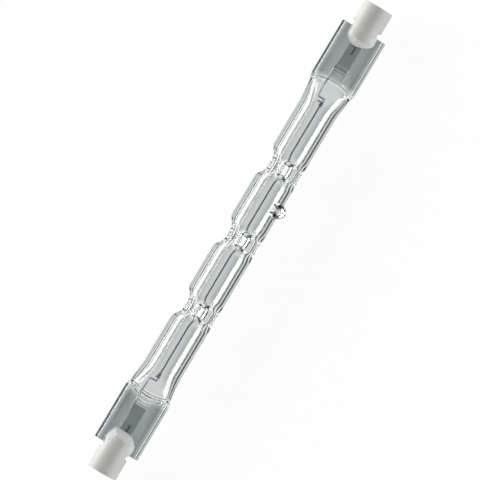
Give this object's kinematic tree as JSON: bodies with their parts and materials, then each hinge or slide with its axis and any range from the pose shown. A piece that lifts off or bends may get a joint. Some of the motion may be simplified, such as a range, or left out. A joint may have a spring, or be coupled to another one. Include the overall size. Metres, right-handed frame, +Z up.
{
  "type": "linear halogen bulb",
  "caption": "Double-ended linear halogen lamp: clear quartz tube with dimples and pressed flat seals, straight filament, white slotted ceramic caps with recessed contacts.",
  "frame": {"origin": "middle of the lamp's outline on the surface that it lies on", "axes": "+X along the lamp's axis towards end b, +Z up from the surface that it lies on"},
  "size_m": [0.1176, 0.0122, 0.0088],
  "materials": {
    "quartz": "clear, fire polished",
    "tungsten": "matt wire",
    "ceramic_body": "unglazed, satin",
    "cement": "matt, slightly uneven",
    "contact_metal": "plated, satin",
    "molybdenum": "drawn wire",
    "molybdenum_foil": "rolled foil"
  },
  "bodies": {
    "root": {"quartz_envelope": "quartz", "filament": "tungsten", "ceramic_cap_a": "ceramic_body", "ceramic_cap_b": "ceramic_body", "cap_cement_a": "cement", "cap_cement_b": "cement", "end_contact_a": "contact_metal", "end_contact_b": "contact_metal", "outer_lead_a": "molybdenum", "outer_lead_b": "molybdenum", "seal_foil_a": "molybdenum_foil", "seal_foil_b": "molybdenum_foil", "inner_lead_a": "molybdenum", "inner_lead_b": "molybdenum"}
  },
  "joints": []
}
